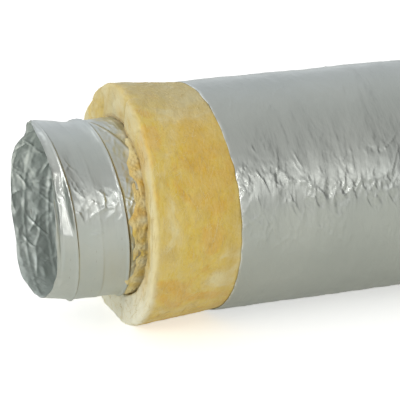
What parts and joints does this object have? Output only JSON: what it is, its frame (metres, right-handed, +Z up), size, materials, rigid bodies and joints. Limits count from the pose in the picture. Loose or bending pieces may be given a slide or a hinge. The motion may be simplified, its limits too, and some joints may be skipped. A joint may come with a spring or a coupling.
{
  "type": "flexible air duct",
  "caption": "Round insulated flexible air duct: wire-helix film core, glass-wool blanket and metallised jacket, stepped back at its open end to show each layer.",
  "frame": {"origin": "centre of the bore at the open end", "axes": "+X along the duct from its open end, +Z up when the duct lies on its flat underside"},
  "size_m": [1.045, 0.282, 0.276],
  "materials": {
    "core_film": "bright crumpled foil laminate",
    "spring_wire": "drawn spring steel",
    "glass_wool": "loose yellow glass wool",
    "jacket_film": "satin metallised film"
  },
  "bodies": {
    "inlet_end": {"core_inner_ply_inlet": "core_film", "core_outer_ply_inlet": "core_film", "wire_helix_inlet": "spring_wire", "wool_blanket_bunch": "glass_wool", "wool_blanket_inlet": "glass_wool", "vapour_jacket_bunch": "jacket_film", "vapour_jacket_inlet": "jacket_film", "core_inner_ply_flex_1": "core_film", "core_outer_ply_flex_1": "core_film", "wire_helix_flex_1": "spring_wire", "wool_blanket_flex_1": "glass_wool", "vapour_jacket_flex_1": "jacket_film"},
    "insulation_end": {"wool_blanket_end": "glass_wool"},
    "jacket_cuff": {"vapour_jacket_end": "jacket_film"},
    "hoop_1": {"core_inner_ply_hoop_1": "core_film", "core_outer_ply_hoop_1": "core_film", "wire_helix_hoop_1": "spring_wire", "wool_blanket_hoop_1": "glass_wool", "vapour_jacket_hoop_1": "jacket_film", "core_inner_ply_flex_2": "core_film", "core_outer_ply_flex_2": "core_film", "wire_helix_flex_2": "spring_wire", "wool_blanket_flex_2": "glass_wool", "vapour_jacket_flex_2": "jacket_film"},
    "hoop_2": {"core_inner_ply_hoop_2": "core_film", "core_outer_ply_hoop_2": "core_film", "wire_helix_hoop_2": "spring_wire", "wool_blanket_hoop_2": "glass_wool", "vapour_jacket_hoop_2": "jacket_film", "core_inner_ply_flex_3": "core_film", "core_outer_ply_flex_3": "core_film", "wire_helix_flex_3": "spring_wire", "wool_blanket_flex_3": "glass_wool", "vapour_jacket_flex_3": "jacket_film"},
    "hoop_3": {"core_inner_ply_hoop_3": "core_film", "core_outer_ply_hoop_3": "core_film", "wire_helix_hoop_3": "spring_wire", "wool_blanket_hoop_3": "glass_wool", "vapour_jacket_hoop_3": "jacket_film", "core_inner_ply_flex_4": "core_film", "core_outer_ply_flex_4": "core_film", "wire_helix_flex_4": "spring_wire", "wool_blanket_flex_4": "glass_wool", "vapour_jacket_flex_4": "jacket_film"},
    "hoop_4": {"core_inner_ply_hoop_4": "core_film", "core_outer_ply_hoop_4": "core_film", "wire_helix_hoop_4": "spring_wire", "wool_blanket_hoop_4": "glass_wool", "vapour_jacket_hoop_4": "jacket_film", "core_inner_ply_flex_5": "core_film", "core_outer_ply_flex_5": "core_film", "wire_helix_flex_5": "spring_wire", "wool_blanket_flex_5": "glass_wool", "vapour_jacket_flex_5": "jacket_film"},
    "outlet_end": {"core_inner_ply_outlet": "core_film", "core_outer_ply_outlet": "core_film", "wire_helix_outlet": "spring_wire", "wool_blanket_outlet": "glass_wool", "vapour_jacket_outlet": "jacket_film"}
  },
  "joints": [
    {"name": "insulation_pull_back", "type": "slide", "parent": "inlet_end", "child": "insulation_end", "axis": [1, 0, 0], "range_m": [0, 0.04], "deforming": ["wool_blanket_bunch"]},
    {"name": "jacket_pull_back", "type": "slide", "parent": "inlet_end", "child": "jacket_cuff", "axis": [1, 0, 0], "range_m": [0, 0.05], "deforming": ["vapour_jacket_bunch"]},
    {"name": "sideways_bend_1", "type": "hinge", "parent": "inlet_end", "child": "hoop_1", "pos_m": [0.415, 0, 0], "axis": [0, 0, 1], "range_deg": [-22, 22], "deforming": ["core_inner_ply_flex_1", "core_outer_ply_flex_1", "wire_helix_flex_1", "wool_blanket_flex_1", "vapour_jacket_flex_1"]},
    {"name": "squeeze", "type": "slide", "parent": "hoop_1", "child": "hoop_2", "axis": [1, 0, 0], "range_m": [-0.06, 0], "stiffness_N_per_m": 40, "deforming": ["core_inner_ply_flex_2", "core_outer_ply_flex_2", "wire_helix_flex_2", "wool_blanket_flex_2", "vapour_jacket_flex_2"]},
    {"name": "up_down_bend_1", "type": "hinge", "parent": "hoop_2", "child": "hoop_3", "pos_m": [0.675, 0, 0], "axis": [0, 1, 0], "range_deg": [-22, 22], "deforming": ["core_inner_ply_flex_3", "core_outer_ply_flex_3", "wire_helix_flex_3", "wool_blanket_flex_3", "vapour_jacket_flex_3"]},
    {"name": "sideways_bend_2", "type": "hinge", "parent": "hoop_3", "child": "hoop_4", "pos_m": [0.805, 0, 0], "axis": [0, 0, 1], "range_deg": [-22, 22], "deforming": ["core_inner_ply_flex_4", "core_outer_ply_flex_4", "wire_helix_flex_4", "wool_blanket_flex_4", "vapour_jacket_flex_4"]},
    {"name": "up_down_bend_2", "type": "hinge", "parent": "hoop_4", "child": "outlet_end", "pos_m": [0.935, 0, 0], "axis": [0, 1, 0], "range_deg": [-22, 22], "deforming": ["core_inner_ply_flex_5", "core_outer_ply_flex_5", "wire_helix_flex_5", "wool_blanket_flex_5", "vapour_jacket_flex_5"]}
  ]
}
